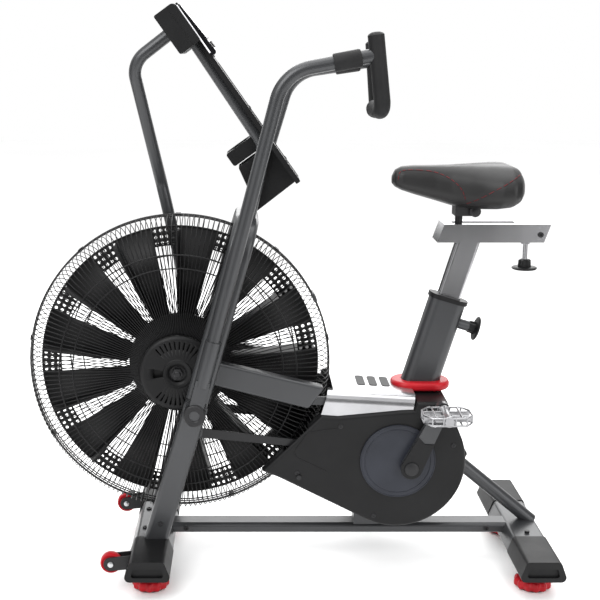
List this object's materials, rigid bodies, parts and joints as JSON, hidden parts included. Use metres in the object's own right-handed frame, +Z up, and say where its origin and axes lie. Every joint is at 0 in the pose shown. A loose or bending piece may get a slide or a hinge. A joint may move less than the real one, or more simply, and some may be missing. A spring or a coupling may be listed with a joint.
{
  "type": "air bike",
  "caption": "Fan-resistance exercise bike: caged fan wheel, swinging handlebars linked to the cranks, sliding saddle on a leaning post, console and bottle holder.",
  "frame": {"origin": "on the floor under the middle of the overall box", "axes": "+Z up, the rider faces -X, +Y is the side away from the viewer; Y = 0 is the middle plane"},
  "size_m": [1.2961, 0.534, 1.3935],
  "materials": {
    "frame_grey": "satin metallic",
    "fan_black": "satin",
    "wire_black": "satin",
    "cover_black": "fine grain",
    "disc_slate": "fine grain",
    "cover_silver": "satin",
    "red_plastic": "satin",
    "chrome": "polished",
    "steel": "brushed",
    "dark_steel": "satin",
    "pedal_silver": "bead blasted",
    "grip_rubber": "matte",
    "belt_rubber": "matte",
    "display_black": "gloss",
    "saddle_leather": "matte grain"
  },
  "bodies": {
    "frame": {"front_stabilizer": "frame_grey", "rear_stabilizer": "frame_grey", "base_rail": "frame_grey", "upright_left": "frame_grey", "upright_right": "frame_grey", "fan_bow": "frame_grey", "console_mast": "frame_grey", "console_stay": "frame_grey", "side_beam_left": "frame_grey", "side_beam_right": "frame_grey", "main_frame": "frame_grey", "seat_tube": "frame_grey", "support_strut": "frame_grey", "rear_strut": "frame_grey", "guard_left": "wire_black", "guard_right": "wire_black", "stabilizer_end_caps": "cover_black", "seat_tube_sleeve": "cover_black", "hub_cover_left": "cover_black", "hub_cover_right": "cover_black", "shroud_left": "cover_black", "shroud_right": "cover_black", "console_body": "cover_black", "console_panel": "cover_black", "bottle_holder": "cover_black", "disc_covers": "disc_slate", "top_cover": "cover_silver", "seat_collar": "red_plastic", "bearings": "steel", "fan_axle": "dark_steel", "frame_bolts": "dark_steel", "wheel_brackets": "dark_steel", "drive_belt": "belt_rubber", "console_display": "display_black"},
    "fan": {"fan_rotor": "fan_black"},
    "crank": {"crank_axle": "steel", "crank_arm_left": "frame_grey", "crank_arm_right": "frame_grey", "crank_pulley": "steel"},
    "pedal_l": {"pedal_left": "pedal_silver"},
    "pedal_r": {"pedal_right": "pedal_silver"},
    "arm_l": {"arm_left": "frame_grey", "grip_left": "grip_rubber"},
    "arm_r": {"arm_right": "frame_grey", "grip_right": "grip_rubber"},
    "rod_l": {"link_rod_left": "dark_steel"},
    "rod_r": {"link_rod_right": "dark_steel"},
    "seat": {"seat_post": "chrome"},
    "saddle_slide": {"saddle_clamp": "dark_steel", "saddle": "saddle_leather"},
    "pin_knob": {"height_knob": "cover_black"},
    "clamp_knob": {"slide_knob": "cover_black"},
    "wheel_l": {"wheel_left": "red_plastic"},
    "wheel_r": {"wheel_right": "red_plastic"},
    "foot_fl": {"foot_front_left": "red_plastic"},
    "foot_fr": {"foot_front_right": "red_plastic"},
    "foot_rl": {"foot_rear_left": "red_plastic"},
    "foot_rr": {"foot_rear_right": "red_plastic"},
    "button_l": {"button_left": "display_black"},
    "button_r": {"button_right": "display_black"}
  },
  "joints": [
    {"name": "crank_spin", "type": "hinge", "parent": "frame", "child": "crank", "pos_m": [0.291, 0, 0.299], "axis": [0, -1, 0], "continuous": true},
    {"name": "fan_spin", "type": "hinge", "parent": "frame", "child": "fan", "pos_m": [-0.274, 0, 0.525], "axis": [0, -1, 0], "continuous": true},
    {"name": "pedal_left_spin", "type": "hinge", "parent": "crank", "child": "pedal_l", "pos_m": [0.36203, -0.203, 0.44793], "axis": [0, 1, 0], "continuous": true},
    {"name": "pedal_right_spin", "type": "hinge", "parent": "crank", "child": "pedal_r", "pos_m": [0.21997, 0.203, 0.15007], "axis": [0, 1, 0], "continuous": true},
    {"name": "arm_left_swing", "type": "hinge", "parent": "frame", "child": "arm_l", "pos_m": [-0.23, -0.186, 0.449], "axis": [0, 1, 0], "range_deg": [-11, 11]},
    {"name": "arm_right_swing", "type": "hinge", "parent": "frame", "child": "arm_r", "pos_m": [-0.23, 0.186, 0.449], "axis": [0, 1, 0], "range_deg": [-11, 11]},
    {"name": "rod_left_pivot", "type": "hinge", "parent": "arm_l", "child": "rod_l", "pos_m": [-0.228, -0.109, 0.377], "axis": [0, 1, 0], "range_deg": [-11, 11]},
    {"name": "rod_right_pivot", "type": "hinge", "parent": "arm_r", "child": "rod_r", "pos_m": [-0.23077, 0.109, 0.37698], "axis": [0, 1, 0], "range_deg": [-11, 11]},
    {"name": "seat_height", "type": "slide", "parent": "frame", "child": "seat", "axis": [0.2874, 0, 0.9578], "range_m": [-0.11, 0.05]},
    {"name": "saddle_fore_aft", "type": "slide", "parent": "seat", "child": "saddle_slide", "axis": [1, 0, 0], "range_m": [-0.007, 0.07]},
    {"name": "height_pin_pull", "type": "slide", "parent": "frame", "child": "pin_knob", "axis": [0.9578, 0, -0.2874], "range_m": [0, 0.008], "stiffness_N_per_m": 600, "springref_m": -0.004},
    {"name": "clamp_knob_turn", "type": "hinge", "parent": "seat", "child": "clamp_knob", "pos_m": [0.575, 0, 0.78], "axis": [0, 0, 1], "range_deg": [-180, 180]},
    {"name": "wheel_left_roll", "type": "hinge", "parent": "frame", "child": "wheel_l", "pos_m": [-0.436, -0.19, 0.075], "axis": [0, 1, 0], "continuous": true},
    {"name": "wheel_right_roll", "type": "hinge", "parent": "frame", "child": "wheel_r", "pos_m": [-0.436, 0.19, 0.075], "axis": [0, 1, 0], "continuous": true},
    {"name": "foot_front_left_turn", "type": "hinge", "parent": "frame", "child": "foot_fl", "pos_m": [-0.343, -0.168, 0.02], "axis": [0, 0, 1], "range_deg": [-180, 180]},
    {"name": "foot_front_right_turn", "type": "hinge", "parent": "frame", "child": "foot_fr", "pos_m": [-0.343, 0.168, 0.02], "axis": [0, 0, 1], "range_deg": [-180, 180]},
    {"name": "foot_rear_left_turn", "type": "hinge", "parent": "frame", "child": "foot_rl", "pos_m": [0.5944, -0.168, 0.02], "axis": [0, 0, 1], "range_deg": [-180, 180]},
    {"name": "foot_rear_right_turn", "type": "hinge", "parent": "frame", "child": "foot_rr", "pos_m": [0.5944, 0.168, 0.02], "axis": [0, 0, 1], "range_deg": [-180, 180]},
    {"name": "button_left_press", "type": "slide", "parent": "frame", "child": "button_l", "axis": [-0.8141, 0, -0.5807], "range_m": [0, 0.0015], "stiffness_N_per_m": 600, "springref_m": -0.0005},
    {"name": "button_right_press", "type": "slide", "parent": "frame", "child": "button_r", "axis": [-0.8141, 0, -0.5807], "range_m": [0, 0.0015], "stiffness_N_per_m": 600, "springref_m": -0.0005}
  ],
  "couplings": [
    {"joint": "fan_spin", "follows": "crank_spin", "ratio": 4.0909},
    {"joint": "arm_right_swing", "follows": "arm_left_swing", "ratio": -1},
    {"joint": "rod_left_pivot", "follows": "arm_left_swing", "ratio": -1},
    {"joint": "rod_right_pivot", "follows": "arm_left_swing", "ratio": 1}
  ]
}
